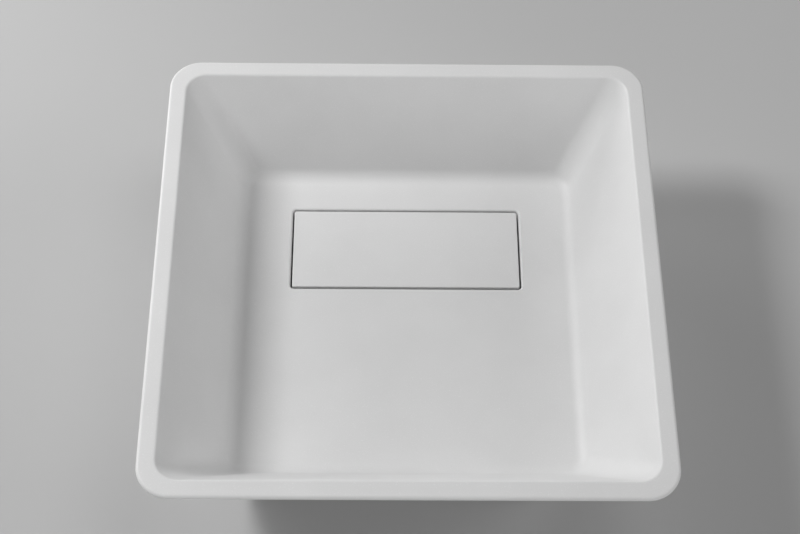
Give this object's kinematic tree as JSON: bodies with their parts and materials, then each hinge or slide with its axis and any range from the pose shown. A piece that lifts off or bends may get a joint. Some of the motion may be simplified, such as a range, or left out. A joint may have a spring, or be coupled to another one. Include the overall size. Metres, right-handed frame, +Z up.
{
  "type": "countertop washbasin",
  "caption": "Square vessel washbasin with sloping walls, a flat rim, a lift-off rectangular drain cover and an always-open threaded waste.",
  "frame": {"origin": "middle of the basin's base, on the face that stands on the worktop", "axes": "+Z up out of the worktop; +Y towards the back, the side that the drain cover is nearer to; +X to the right seen from the front"},
  "size_m": [0.4, 0.4, 0.2025],
  "materials": {
    "solid_surface": "matte",
    "silicone": "satin",
    "chromed_brass": "polished",
    "stainless_steel": "satin",
    "black_rubber": "matte",
    "washer_plastic": "matte",
    "nut_brass": "satin"
  },
  "bodies": {
    "basin": {"basin_body": "solid_surface", "waste_body": "chromed_brass", "strainer_grid": "stainless_steel", "strainer_screw": "stainless_steel", "flange_seal": "black_rubber", "lower_gasket": "black_rubber", "slip_washer": "washer_plastic", "back_nut": "nut_brass"},
    "cover": {"drain_cover": "solid_surface", "cover_bumpers": "silicone"}
  },
  "joints": [
    {"name": "cover_lift", "type": "slide", "parent": "basin", "child": "cover", "axis": [0, 0, 1], "range_m": [0, 0.12]}
  ]
}
